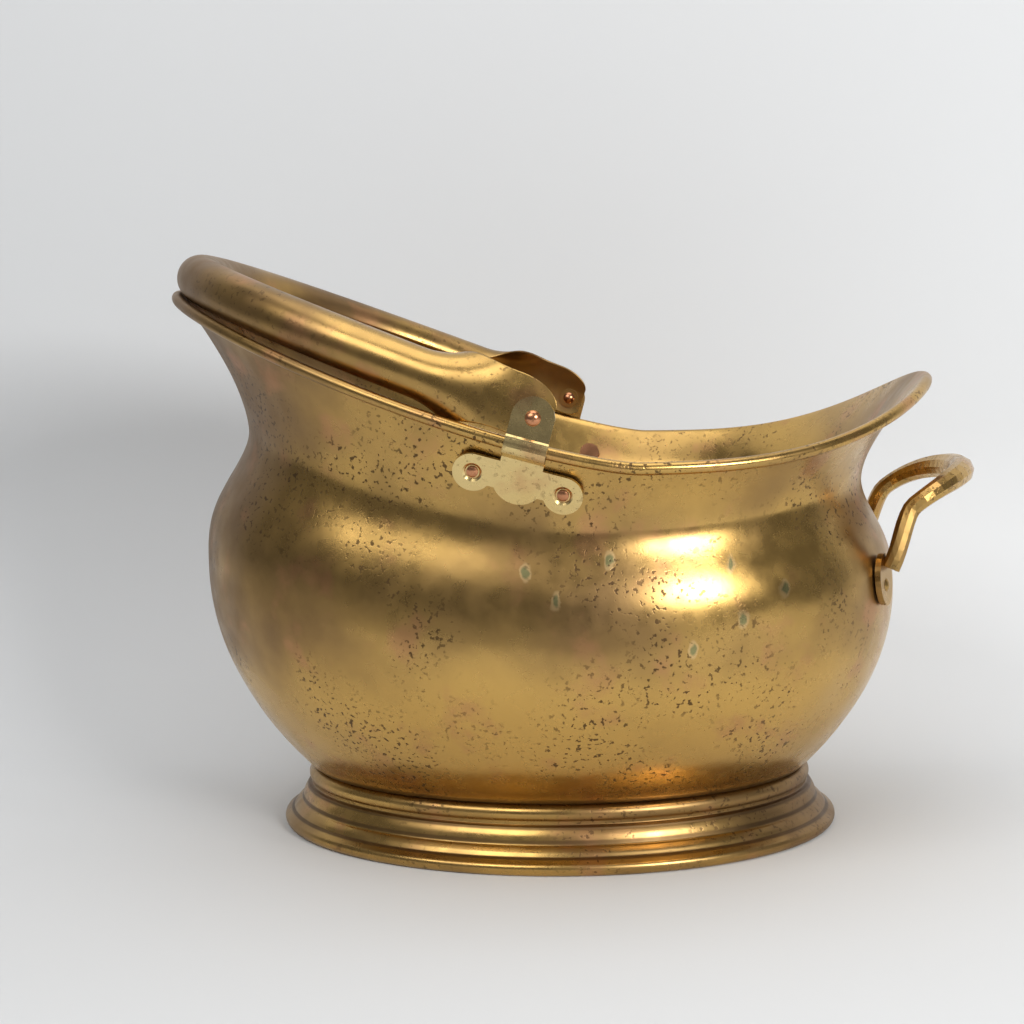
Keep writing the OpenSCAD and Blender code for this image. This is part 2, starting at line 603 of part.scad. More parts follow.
module palm_rivet(side) {
    deep = plate_gap + sheet + palm_fall;
    in_frame() on_side(side) color(copper) on_palm(palm_rivet_drop) {
        translate([0, 0, -deep - 1]) cylinder(h = 1, r = palm_head_r + 1);
        translate([0, 0, -deep - eps]) cylinder(h = deep + palm_t + 0.1, r = palm_rivet_r);
        translate([0, 0, palm_t + 0.05]) dome(palm_head_r, 1.3);
    }
}

body_shell();
rim_wire();
base_plate();
foot_ring();
foot_wire();
bail_handle();
bracket(-1);  // bracket_left
bracket(1);  // bracket_right
bracket_rivets(-1);  // bracket_rivets_left
bracket_rivets(1);  // bracket_rivets_right
pivot_rivet(-1);  // pivot_rivet_left
pivot_rivet(1);  // pivot_rivet_right
pivot_washer(-1);  // pivot_washer_left
pivot_washer(1);  // pivot_washer_right
tipping_handle();
palm_rivet(-1);  // palm_rivet_left
palm_rivet(1);  // palm_rivet_right
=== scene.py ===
# %% [markdown]
# # An old brass helmet coal scuttle
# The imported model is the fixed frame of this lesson. It holds every piece at its real size,
# in metres, with Z up and the pouring lip towards -X. Blender adds only what the eye sees:
# finer surfaces, mouldings, rivet heads and an aged finish. Nothing is moved or resized.

# %% Load the fixed frame
import bpy
import numpy as np
from mathutils import Matrix


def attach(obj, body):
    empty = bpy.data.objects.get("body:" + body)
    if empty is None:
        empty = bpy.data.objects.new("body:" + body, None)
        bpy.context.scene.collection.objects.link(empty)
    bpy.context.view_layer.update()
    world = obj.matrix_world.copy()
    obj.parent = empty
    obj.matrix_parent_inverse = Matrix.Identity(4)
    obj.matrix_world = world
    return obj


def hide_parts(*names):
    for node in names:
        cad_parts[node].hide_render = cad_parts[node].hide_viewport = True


MM = 0.001
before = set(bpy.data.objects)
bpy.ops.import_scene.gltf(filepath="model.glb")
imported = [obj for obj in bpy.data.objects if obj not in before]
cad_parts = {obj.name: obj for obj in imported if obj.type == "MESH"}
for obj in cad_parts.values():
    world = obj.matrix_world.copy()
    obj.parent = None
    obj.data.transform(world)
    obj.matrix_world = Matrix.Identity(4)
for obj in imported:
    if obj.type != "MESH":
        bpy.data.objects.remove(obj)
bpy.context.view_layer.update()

# %% [markdown]
# ## The camera
# The photograph was taken from a little above and a little to the right of the middle, with
# the camera rolled by about one degree. A camera is a place and three directions, so the
# matrix is put together from the heading, the dip and the roll instead of by a constraint,
# which could not roll.

# %% The camera at the photograph's place
CAMERA_PLACE = (47.67 * MM, -916.26 * MM, 261.28 * MM)
CAMERA_HEADING = -0.0890
CAMERA_DIP = 0.0970
CAMERA_ROLL = -0.0184
CAMERA_LENS = 58.10


def camera_axes(heading, dip, roll):
    """Right, up and back directions: the heading turns from +Y, the dip tips down, the roll turns right into up."""
    ahead = np.array([np.sin(heading) * np.cos(dip), np.cos(heading) * np.cos(dip), -np.sin(dip)])
    right = np.array([np.cos(heading), -np.sin(heading), 0.0])
    up = np.cross(right, ahead)
    rolled = np.cos(roll) * right + np.sin(roll) * up
    return rolled, np.cross(rolled, ahead), -ahead


camera_data = bpy.data.cameras.new("camera")
camera_data.lens = CAMERA_LENS
camera = bpy.data.objects.new("camera", camera_data)
bpy.context.scene.collection.objects.link(camera)
camera.matrix_world = Matrix([[*row, place] for row, place in zip(
    np.transpose(camera_axes(CAMERA_HEADING, CAMERA_DIP, CAMERA_ROLL)), CAMERA_PLACE)] + [[0, 0, 0, 1]])
bpy.context.scene.camera = camera
print("camera at", CAMERA_PLACE, "lens", CAMERA_LENS)

# %% [markdown]
# ## Grids into meshes
# Most pieces here are a grid of points, worked out as one array, whose neighbouring points
# are joined into quads. A closed solid has to show its outside, so the volume that the faces
# enclose is worked out too: where it comes out negative, every face is turned over.

# %% A mesh from a grid of points


def grid_faces(rows, columns, close_rows, close_columns):
    """One quad between each point and its next neighbours; a closed direction joins its last line to its first."""
    i, j = np.meshgrid(np.arange(rows - (not close_rows)), np.arange(columns - (not close_columns)), indexing="ij")
    down, across = (i + 1) % rows, (j + 1) % columns
    return np.stack([i * columns + j, down * columns + j, down * columns + across, i * columns + across],
                    -1).reshape(-1, 4)


def cap_faces(columns, row, close):
    """Quads that close the end of a flattened loop: point k of the loop is joined with the point across from it."""
    k = np.arange(columns // 2 - 1)
    first = row * columns
    faces = np.stack([first + k, first + k + 1, first + columns - 2 - k, first + columns - 1 - k], -1)
    return faces if close else faces[:, ::-1]


def enclosed(points, faces):
    """Volume inside quads: a sixth of the sum of the triple products of their two triangles."""
    a, b, c, d = (points[faces[:, k]] for k in range(4))
    return float((np.cross(a, b) * c).sum() + (np.cross(a, c) * d).sum()) / 6


def piece_from(name, points, faces, smooth=True):
    """A mesh object at the origin with its place in its points, turned so that it encloses a positive volume."""
    points = np.asarray(points, float).reshape(-1, 3)
    if enclosed(points, faces) < 0:
        faces = faces[:, ::-1]
    mesh = bpy.data.meshes.new(name)
    mesh.from_pydata(points, [], faces.tolist())
    mesh.validate()
    mesh.polygons.foreach_set("use_smooth", np.full(len(mesh.polygons), smooth))
    made = bpy.data.objects.new(name, mesh)
    bpy.context.scene.collection.objects.link(made)
    print(name, len(mesh.polygons), "faces")
    return made


def dress(piece, body, slot, material, *nodes):
    """Puts a piece on its body, hides the frame's nodes that it stands for, and gives it its finish; the slot is not
    used.
    """
    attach(piece, body)
    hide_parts(*nodes)
    piece.data.materials.clear()
    piece.data.materials.append(material)
    return piece


# %% [markdown]
# ## The outline of the bowl
# Seen from above, the mouth, neck, belly and bottom are ovals a little squarer than an
# ellipse. Each is written with its own reach to the front, to the rear and to the side. The
# heights follow a saddle: lowest beside the middle and rising towards both lips.

# %% Ovals and saddles
SHEET = 1.2 * MM
LIP = (203 * MM, 202 * MM, 156 * MM)
LIP_SQUARE = 2.14
NECK = (166.5 * MM, 168.5 * MM, 140 * MM)
BELLY = (191.5 * MM, 184.5 * MM, 150 * MM)
BOTTOM = (139.5 * MM, 139.5 * MM, 102 * MM)
BOWL_SQUARE = 2.15
BOWL_LOW_X = 20 * MM
FOOT_HIGH = 32.5 * MM
ROLL_IN = 1.9 * MM
ROLL_OUT = ROLL_IN + SHEET
GRIP_R = 6.8 * MM
GRIP_X = 221.5 * MM
# The frame's middle lies ahead of the foot's middle
FRAME_X = (LIP[0] + ROLL_OUT - GRIP_X - GRIP_R) / 2
# A round form here has more sides than in the frame, so it is drawn in to stay inside the frame's box
TRIM = 0.15 * MM
HALF_DEGREE = np.radians(0.5)


def unit(v):
    """A vector divided by its length."""
    return v / np.linalg.norm(v, axis=-1, keepdims=True)


def signed_power(v, power):
    """The size of a value raised to a power, with the value's own sign."""
    return np.sign(v) * np.abs(v) ** power


def oval(reach, square, a):
    """Plan point at angle a: front or rear reach times cosine, side reach times sine, each to the power 2/square."""
    front, rear, side = reach
    x = np.where(np.cos(a) < 0, front, rear) * signed_power(np.cos(a), 2 / square)
    return np.stack([x, side * signed_power(np.sin(a), 2 / square), np.zeros_like(x)], -1)


def oval_out(reach, square, a):
    """Direction out of the oval: the way along it, turned a right angle outwards."""
    along = oval(reach, square, a + HALF_DEGREE) - oval(reach, square, a - HALF_DEGREE)
    return unit(np.stack([along[..., 1], -along[..., 0], np.zeros(along.shape[:-1])], -1))


def saddle(x, reach, low_x, low, rise_front, late_front, rise_rear, late_rear):
    """Height at x: the lowest height plus a rise times a power of the share of the way to the front or rear."""
    ahead = np.clip((low_x - x) / (low_x + reach[0]), 0, None)
    behind = np.clip((x - low_x) / (reach[1] - low_x), 0, None)
    return low + rise_front * ahead ** late_front + rise_rear * behind ** late_rear


def rim_height(x):
    """The rim wire's height: lowest a little behind the middle, with a long rise to the front lip."""
    return saddle(x, LIP, 50 * MM, 206 * MM, 89.5 * MM, 1.35, 37.5 * MM, 3.0)


def with_height(points, z):
    """Plan points lifted to the heights z."""
    return np.concatenate([points[..., :2], np.broadcast_to(z, points.shape[:-1])[..., None]], -1)


def rim_mid(a):
    """Middle of the rim wire at plan angle a."""
    p = oval(LIP, LIP_SQUARE, a)
    return with_height(p, rim_height(p[..., 0]))


def rim_point(a, r, turn):
    """Point round the wire: its middle plus r times cosine outwards and sine upwards of the turn."""
    out = oval_out(LIP, LIP_SQUARE, a)
    up = unit(np.cross(out, rim_mid(a + HALF_DEGREE) - rim_mid(a - HALF_DEGREE)))
    return rim_mid(a) + r * (np.cos(turn)[..., None] * out + np.sin(turn)[..., None] * up)


def neck(a):
    """The narrowest line of the bowl, between the belly and the flaring mouth."""
    p = oval(NECK, BOWL_SQUARE, a)
    return with_height(p, saddle(p[..., 0], NECK, BOWL_LOW_X, 174 * MM, 49 * MM, 1.5, 16 * MM, 2))


def belly(a):
    """The widest line of the bowl."""
    p = oval(BELLY, BOWL_SQUARE, a)
    return with_height(p, saddle(p[..., 0], BELLY, BOWL_LOW_X, 122 * MM, 27 * MM, 1.5, 9 * MM, 2))


def bottom(a, inset, z):
    """The bowl's bottom edge, moved in by an inset and lifted to z."""
    return with_height(oval(BOTTOM, 2, a) - inset * oval_out(BOTTOM, 2, a), z)


def between(p, q, share, rise):
    """From ring p to ring q: the plan goes by one share and the height by another."""
    plan = p[..., :2] + (q - p)[..., :2] * share[..., None]
    return np.concatenate([plan, (p[..., 2] + (q - p)[..., 2] * rise)[..., None]], -1)


ROLL_START = np.radians(145)
CORNER = 1.6 * MM


def lower_wall(a, u):
    """From the bottom edge to the belly: the plan's share is one minus the square of what is left."""
    return between(bottom(a, 0, FOOT_HIGH + CORNER), belly(a), 1 - (1 - u) ** 2, u)


def middle_wall(a, u):
    """From the belly to the neck: half a cosine wave, drawn in late by a power of 1.5."""
    return between(belly(a), neck(a), (1 - np.cos(np.pi * u ** 1.5)) / 2, u)


def upper_wall(a, u):
    """From the neck to the rim's roll: the plan's share is a power of 1.6, so the mouth flares late."""
    return between(neck(a), rim_point(a, ROLL_IN, np.full(np.shape(a), ROLL_START)), u ** 1.6, u)


# %% [markdown]
# ## The bowl
# A real scuttle of this age isn't smooth. Its sheet was raised and planished by hand, and a
# century of coal has pushed it in and out by a fraction of a millimetre, which is what makes
# its reflections swim. A sum of a few long waves moves each point along the wall's normal,
# and a few named dents are pushed in. It is geometry and not bump, so it shows from any side.

# %% Waves and dents of worked sheet
RANDOM = np.random.default_rng(7)
WAVE_COUNT = 14
WAVE_TURNS = unit(RANDOM.normal(size=(WAVE_COUNT, 3)))
WAVE_LENGTHS = np.geomspace(150, 28, WAVE_COUNT) * MM
WAVE_PHASES = RANDOM.uniform(0, 2 * np.pi, WAVE_COUNT)
# Middle, radius and depth of each dent, as seen on the near side, the lip and the rear
DENTS = [((150, -76, 88), 16, 1.0), ((-152, -80, 120), 26, 0.7), ((96, -128, 165), 30, 0.5),
         ((-60, -142, 150), 34, 0.5), ((168, 40, 150), 22, 0.6), ((-120, 110, 110), 30, 0.8),
         ((20, 146, 140), 34, 0.7), ((-178, 40, 170), 26, 0.6)]


def unevenness(points, height):
    """How far worked sheet stands out: a sum of plane waves whose height falls with their length."""
    phase = points @ (WAVE_TURNS / WAVE_LENGTHS[:, None] * 2 * np.pi).T + WAVE_PHASES
    return height * (np.sin(phase) * WAVE_LENGTHS / WAVE_LENGTHS[0]).sum(-1) / np.sqrt(WAVE_COUNT)


def dented(points):
    """How far the dents push the sheet in: a bell curve of the distance to each dent's middle."""
    deep = np.zeros(points.shape[:-1])
    for middle, radius, depth in DENTS:
        away = np.linalg.norm(points - np.array(middle) * MM, axis=-1) / (radius * MM)
        deep -= depth * MM * np.exp(-away ** 2)
    return deep


def grid_normals(points):
    """Normal of each point of a ring of lines: the way round crossed with the way along."""
    around = np.roll(points, -1, 0) - np.roll(points, 1, 0)
    return unit(np.cross(around, np.gradient(points, axis=1)))


# %% The bowl's closed section, carried round the plan
BOWL_STEPS = 384
FLANGE_IN = 12 * MM
CORNER_IN = 2 * MM
ROLL_END = np.radians(-130)


def wall_lines(steps):
    """The outside of the wall from its flange to the roll, with the given steps low, in the middle and high."""
    a = (np.arange(BOWL_STEPS) * 2 * np.pi / BOWL_STEPS)[:, None]
    low, middle, high = (np.linspace(0, 1, n, endpoint=False)[None, :] for n in steps)
    parts = [bottom(a, FLANGE_IN, FOOT_HIGH), bottom(a, CORNER_IN, FOOT_HIGH)]
    parts += [lower_wall(a, low), middle_wall(a, middle), upper_wall(a, high), upper_wall(a, np.ones((1, 1)))]
    return np.concatenate([p.reshape(BOWL_STEPS, -1, 3) for p in parts], 1)


def worked(wall):
    """The wall with its waves and dents, which fade out at the foot, at the rim and under the fittings."""
    calm = np.clip((wall[..., 2] - FOOT_HIGH) / (15 * MM), 0, 1)
    calm = calm * np.clip((rim_height(wall[..., 0]) - wall[..., 2]) / (25 * MM), 0, 1)
    beside = np.abs(np.abs(wall[..., 1]) - 146 * MM) + np.abs(wall[..., 0] + 15 * MM) + np.abs(wall[..., 2] - 0.2)
    calm = calm * np.clip(beside / (50 * MM) - 0.4, 0, 1)
    out = (unevenness(wall, 0.55 * MM) + dented(wall)) * calm
    return wall + grid_normals(wall) * out[..., None]


outer_wall = worked(wall_lines((40, 34, 34)))
coarse_wall = worked(wall_lines((16, 14, 16)))
inner_wall = coarse_wall - SHEET * grid_normals(coarse_wall)
around = (np.arange(BOWL_STEPS) * 2 * np.pi / BOWL_STEPS)[:, None]
roll_turns = np.linspace(ROLL_START, ROLL_END, 30)[None, 1:]
bowl_section = np.concatenate([
    outer_wall,
    rim_point(around, ROLL_IN, np.broadcast_to(roll_turns, (BOWL_STEPS, 29))),
    rim_point(around, ROLL_OUT - TRIM / 2, np.broadcast_to(roll_turns[:, ::-1], (BOWL_STEPS, 29))),
    inner_wall[:, ::-1]], 1) + np.array([FRAME_X, 0, 0])
bowl = piece_from("bowl", bowl_section, grid_faces(BOWL_STEPS, bowl_section.shape[1], True, True))

# %% [markdown]
# ## The foot
# The foot was spun and then pressed into an oval. Its section, from the floor up, is a wired
# edge, a shallow band, a step, a cove, a sharp fillet and the round moulding that carries the
# bowl. The section is a list of turning points with arcs for the round stretches, and a
# smooth curve runs through them before it is carried round the oval.

# %% The foot's section and its ring
FOOT = (154.7 * MM, 154.7 * MM, 117.2 * MM)
EDGE_R = 3.7 * MM
EDGE_FLAT = 2 * MM
BEAD_R = 5 * MM
BEAD_IN = 19.2 * MM
FOOT_STEPS = 360


def arc(middle, radius, start, end, count):
    """Points on an arc, as distance in from the edge and height, at angles from start to end in degrees."""
    turn = np.radians(np.linspace(start, end, count))
    return np.stack([middle[0] - radius * np.cos(turn), middle[1] + radius * np.sin(turn)], -1)


def through(points, per_step):
    """A smooth line through points: on each step the cubic that leaves along the chord of its neighbours."""
    p = np.concatenate([2 * points[:1] - points[1:2], points, 2 * points[-1:] - points[-2:-1]])
    u = np.linspace(0, 1, per_step, endpoint=False)[None, :, None]
    p0, p1, p2, p3 = (p[k:len(p) - 3 + k][:, None, :] for k in range(4))
    line = p1 + u * ((p2 - p0) + u * ((2 * p0 - 5 * p1 + 4 * p2 - p3) + u * (3 * (p1 - p2) + p3 - p0))) / 2
    return np.concatenate([line.reshape(-1, points.shape[1]), points[-1:]])


edge_mid = (EDGE_R, EDGE_R * np.cos(np.arcsin(EDGE_FLAT / 2 / EDGE_R)))
bead_mid = (BEAD_IN, FOOT_HIGH - BEAD_R)
mouldings = np.array([[4.2, 8.2], [5.2, 8.9], [6.4, 10.8], [8.3, 12.7], [9.6, 13.6], [10.4, 15.6], [11.4, 18.2],
                      [12.8, 20.6], [13.6, 21.8], [15.4, 22.6]]) * MM
edge_arc = arc(edge_mid, EDGE_R, -220, 40, 40)
edge_arc[:, 1] = np.maximum(edge_arc[:, 1], 0)
bead_arc = arc(bead_mid, BEAD_R, -38, 90, 22)
flange_end = np.array([[BEAD_IN + 7 * MM, FOOT_HIGH]])
foot_line = np.concatenate([edge_arc[:-1], through(np.concatenate([edge_arc[-1:], mouldings, bead_arc[:1]]), 5),
                            bead_arc[1:], flange_end])


def line_normals(line):
    """Normal of each point of a plane line: the way along it turned a right angle."""
    along = np.gradient(line, axis=0)
    return unit(np.stack([along[:, 1], -along[:, 0]], -1))


def carried_round(reach, square, section, steps):
    """A section, given as distance in from an oval's edge and height, carried round that oval."""
    a = (np.arange(steps) * 2 * np.pi / steps)[:, None]
    edge, out = oval(reach, square, a), oval_out(reach, square, a)
    ring = edge - section[None, :, :1] * out
    ring[..., 2] = section[None, :, 1]
    return ring


foot_inside = foot_line + SHEET * line_normals(foot_line)
foot_section = np.concatenate([foot_line, foot_inside[::-1]])
foot_points = carried_round(FOOT, 2, foot_section, FOOT_STEPS) + np.array([FRAME_X, 0, 0])
foot = piece_from("foot", foot_points, grid_faces(FOOT_STEPS, len(foot_section), True, True))

# %% [markdown]
# ## The bail
# The bail is one strip of sheet. In the middle it is rolled into a tube, with the seam on its
# inside. Towards each pivot the tube opens, flattens and ends in a dished plate with one
# squarer corner. Every cross-section is an arc of its own radius, and only three values
# change along the bow: that radius, and the width above and below the middle line.

# %% The bail's strip
BAIL_SHEET = 1.4 * MM
PIVOT = np.array([1.6 * MM, 0, 0])
PIVOT[2] = rim_height(PIVOT[0]) + 14.8 * MM
BAIL_SIDE = LIP[2] + 1.2 * MM
BAIL_REACH = 218 * MM
BAIL_SQUARE = 2.2
BAIL_REST = np.radians(21.3)
TUBE_R = 12.5 * MM
SEAM = 0.8 * MM
DISH_R = 60 * MM
END_BEHIND = 8.3 * MM
END_ABOVE = 18.3 * MM
END_BELOW = 10.8 * MM
OPEN_FROM = 16 * MM
CURLED_AT = 62 * MM
OPEN_TO = 88 * MM
END_CORNER = 7 * MM
CORNER_MID = 12 * MM
CURVE_FROM = 12 * MM


def ease(t):
    """A smooth step from 0 to 1."""
    t = np.clip(t, 0, 1)
    return t * t * (3 - 2 * t)


def bow_line(count, end_count):
    """Half the bow as distance ahead of the pivot and to the side: a straight end, then a quarter of an oval."""
    start = np.arcsin((CURVE_FROM / BAIL_REACH) ** (BAIL_SQUARE / 2))
    t = np.linspace(start, np.pi / 2, count)
    curve = np.stack([BAIL_REACH * np.sin(t) ** (2 / BAIL_SQUARE), BAIL_SIDE * np.cos(t) ** (2 / BAIL_SQUARE)], -1)
    curve[-1, 1] = 0
    k = np.arange(end_count) / end_count
    ahead = -END_BEHIND + (CURVE_FROM + END_BEHIND) * (1 - np.cos(np.pi / 2 * k))
    return np.concatenate([np.stack([ahead, np.full(end_count, BAIL_SIDE)], -1), curve])


def bail_points(arc_count):
    """Cross-sections along the bow: an arc of sheet, its outer face down and its inner face up again."""
    half = bow_line(130, 26)
    bow = np.concatenate([half * [1, -1], half[-2::-1]])
    along = np.gradient(bow, axis=0)
    out = unit(np.stack([along[:, 1], -along[:, 0]], -1))
    s = bow[:, 0]
    radius = 1 / (1 / DISH_R + (1 / TUBE_R - 1 / DISH_R) * ease((s - OPEN_FROM) / (CURLED_AT - OPEN_FROM)))
    closing = ease((s - OPEN_FROM) / (OPEN_TO - OPEN_FROM))
    half_tube = np.pi * TUBE_R - SEAM / 2
    corner = np.sqrt(np.clip(1 - (np.clip(CORNER_MID - s, 0, None) / (CORNER_MID + END_BEHIND + 0.2 * MM)) ** 2, 0, 1))
    above = np.where(s < CORNER_MID, END_CORNER + (END_ABOVE - END_CORNER) * corner,
                     END_ABOVE + (half_tube - END_ABOVE) * closing)
    below = np.where(s < 0, np.sqrt(np.clip(END_BELOW ** 2 - s ** 2, 0, None)),
                     END_BELOW + (half_tube - END_BELOW) * closing)
    share = np.linspace(0, 1, arc_count)
    width = above[:, None] - (above + below)[:, None] * share[None, :]
    turn = width / radius[:, None]

    def face(depth):
        """One face of the strip, at a depth below its outside."""
        inner = radius[:, None] - depth
        plane = bow[:, None, :] - out[:, None, :] * (radius[:, None] - inner * np.cos(turn))[..., None]
        return plane, inner * np.sin(turn)

    points = []
    for depth, flip in ((TRIM, 1), (BAIL_SHEET, -1)):
        plane, lift = face(depth)
        ahead = np.array([-np.cos(BAIL_REST), 0, np.sin(BAIL_REST)])
        up = np.array([np.sin(BAIL_REST), 0, np.cos(BAIL_REST)])
        place = (PIVOT + plane[..., :1] * ahead + plane[..., 1:] * np.array([0, 1, 0]) + lift[..., None] * up)
        points.append(place[:, ::flip])
    return np.concatenate(points, 1) + np.array([FRAME_X, 0, 0])


bail_section = bail_points(44)
bail_rows, bail_columns = bail_section.shape[:2]
bail_faces = np.concatenate([grid_faces(bail_rows, bail_columns, False, True),
                             cap_faces(bail_columns, 0, False), cap_faces(bail_columns, bail_rows - 1, True)])
bail = piece_from("bail", bail_section, bail_faces)

# %% [markdown]
# ## Studio
# A pale sheet lies under the scuttle and curves up behind it. Its front edge is what draws the
# line across the belly: below it the brass mirrors the bright sheet, above it the dim room.

# %% Floor and backdrop
SWEEP_FRONT = -0.80
SWEEP_BEND = 0.10
SWEEP_WALL = 0.30
SWEEP_TOP = 2.0
SWEEP_SIDE = 1.5


def sweep_line():
    """The sheet's side view: flat floor, a quarter circle and an upright wall."""
    radius = SWEEP_WALL - SWEEP_BEND
    t = np.linspace(0, np.pi / 2, 24)
    bend = np.stack([SWEEP_BEND + radius * np.sin(t), radius * (1 - np.cos(t))], -1)
    return np.concatenate([[[SWEEP_FRONT, 0]], bend, [[SWEEP_WALL, SWEEP_TOP]]])


line = sweep_line()
sweep_points = np.stack([np.concatenate([np.full((len(line), 1), side), line], 1) for side in
                         (-SWEEP_SIDE, SWEEP_SIDE)], 1)
sweep = piece_from("sweep", sweep_points, grid_faces(len(line), 2, False, False))
paper = bpy.data.materials.new("paper")
paper.use_nodes = True
paper_shader = paper.node_tree.nodes["Principled BSDF"]
paper_shader.inputs["Base Color"].default_value = (0.72, 0.73, 0.735, 1)
paper_shader.inputs["Roughness"].default_value = 0.9
paper_shader.inputs["Specular IOR Level"].default_value = 0.1
sweep.data.materials.append(paper)

# %% Lamps and the dim room
LOOK_AT = np.array([0, 0, 0.15])


def lamp(name, azimuth, elevation, distance, size, power):
    """A soft rectangular lamp facing the scuttle: azimuth is degrees to the right of the camera's side."""
    a, e = np.radians(azimuth), np.radians(elevation)
    way = np.array([np.sin(a) * np.cos(e), -np.cos(a) * np.cos(e), np.sin(e)])
    data = bpy.data.lights.new(name, "AREA")
    data.shape = "RECTANGLE"
    data.size, data.size_y = size
    data.energy = power
    made = bpy.data.objects.new(name, data)
    bpy.context.scene.collection.objects.link(made)
    across = unit(np.cross([0.0, 0.0, 1.0], way))
    axes = np.stack([across, np.cross(way, across), way], 1)
    made.matrix_world = Matrix([[*row, place] for row, place in zip(axes, LOOK_AT + way * distance)]
                               + [[0, 0, 0, 1]])
    return made


lamp("key", 36, 19, 1.6, (0.45, 0.45), 13)
lamp("front_box", -32, 40, 1.7, (1.2, 0.7), 9)
lamp("top_box", 5, 84, 1.5, (1.3, 1.1), 9)
# A low lamp from the right throws the long shadow on the backdrop and isn't seen in the brass
low_lamp = lamp("low_lamp", 63, 8, 1.9, (0.3, 0.3), 7)
low_lamp.visible_glossy = False
world = bpy.data.worlds.new("room")
bpy.context.scene.world = world
world.use_nodes = True
world.node_tree.nodes["Background"].inputs["Color"].default_value = (0.15, 0.15, 0.155, 1)
bpy.context.scene.view_settings.view_transform = "Standard"

# %% [markdown]
# ## Aged metal
# Old brass is never one colour. Where hands and cloths reach it stays golden, and elsewhere it
# turns brown, rosy and speckled. Light is painted in as well: the lower belly is made golden as a
# painted reflection of the bright floor, the side towards the lip is made browner as painted
# shade, and dark bands are painted shade in the creases. One node group works out colour,
# roughness and height from noise at several sizes, and each fitting sets how much brown and
# how many specks it has.

# %% Small helpers for node trees


def put(tree, kind, values, **settings):
    """A node with its settings; each input is linked where a socket is given and set where a value is."""
    node = tree.nodes.new("ShaderNode" + kind)
    for key, value in settings.items():
        setattr(node, key, value)
    for key, value in values.items():
        if isinstance(value, bpy.types.NodeSocket):
            tree.links.new(value, node.inputs[key])
        else:
            node.inputs[key].default_value = value
    return node


def noise(tree, where, scale, detail=3.0):
    """A noise value of about 0.3 to 0.7 at a scale in waves a metre."""
    return put(tree, "TexNoise", {"Vector": where, "Scale": scale, "Detail": detail}).outputs[0]


def share(tree, value, start, end):
    """Smoothly from 0 at start to 1 at end."""
    ends = {"Value": value, "From Min": start, "From Max": end}
    return put(tree, "MapRange", ends, interpolation_type="SMOOTHSTEP").outputs["Result"]


def calc(tree, operation, a, b):
    """One sum or product."""
    return put(tree, "Math", {0: a, 1: b}, operation=operation).outputs[0]


def blend(tree, factor, a, b):
    """From colour a to colour b by a factor."""
    return put(tree, "Mix", {0: factor, 6: a, 7: b}, data_type="RGBA").outputs[2]


# %% The aged metal group
ROSE = (0.52, 0.25, 0.12, 1)
# The dark of the specks; the same colour paints the shade in the creases.
SPECK_AND_SHADE = (0.075, 0.042, 0.022, 1)
DRIP_GREEN = (0.20, 0.22, 0.10, 1)
DRIP_RIM = (0.72, 0.50, 0.24, 1)
# Where drops of water dried on the near side: distance along and height in millimetres
DRIPS = [(-15, 157), (-1, 144), (24, 162), (82, 158), (87, 132), (63, 119), (108, 145)]
DRIP_R = 2.0 * MM


def add_drips(tree, where, x, y, z, colour):
    """Dried drops: a green middle inside a pale rim, drawn out downwards."""
    wobble = calc(tree, "MULTIPLY", calc(tree, "SUBTRACT", noise(tree, where, 160), 0.5), 6 * MM)
    flat = put(tree, "CombineXYZ", {"X": calc(tree, "ADD", x, wobble), "Y": calc(tree, "MULTIPLY", z, 0.55)})
    nearest = None
    for along, height in DRIPS:
        spot = (along * MM, height * MM * 0.55, 0)
        away = put(tree, "VectorMath", {0: flat.outputs[0], 1: spot}, operation="DISTANCE").outputs["Value"]
        nearest = away if nearest is None else calc(tree, "MINIMUM", nearest, away)
    near_side = share(tree, y, -0.06, -0.09)
    rim = calc(tree, "MULTIPLY", share(tree, nearest, DRIP_R * 1.5, DRIP_R), near_side)
    middle = calc(tree, "MULTIPLY", share(tree, nearest, DRIP_R, DRIP_R * 0.5), near_side)
    colour = blend(tree, calc(tree, "MULTIPLY", rim, 0.6), colour, DRIP_RIM)
    return blend(tree, calc(tree, "MULTIPLY", middle, 0.8), colour, DRIP_GREEN)


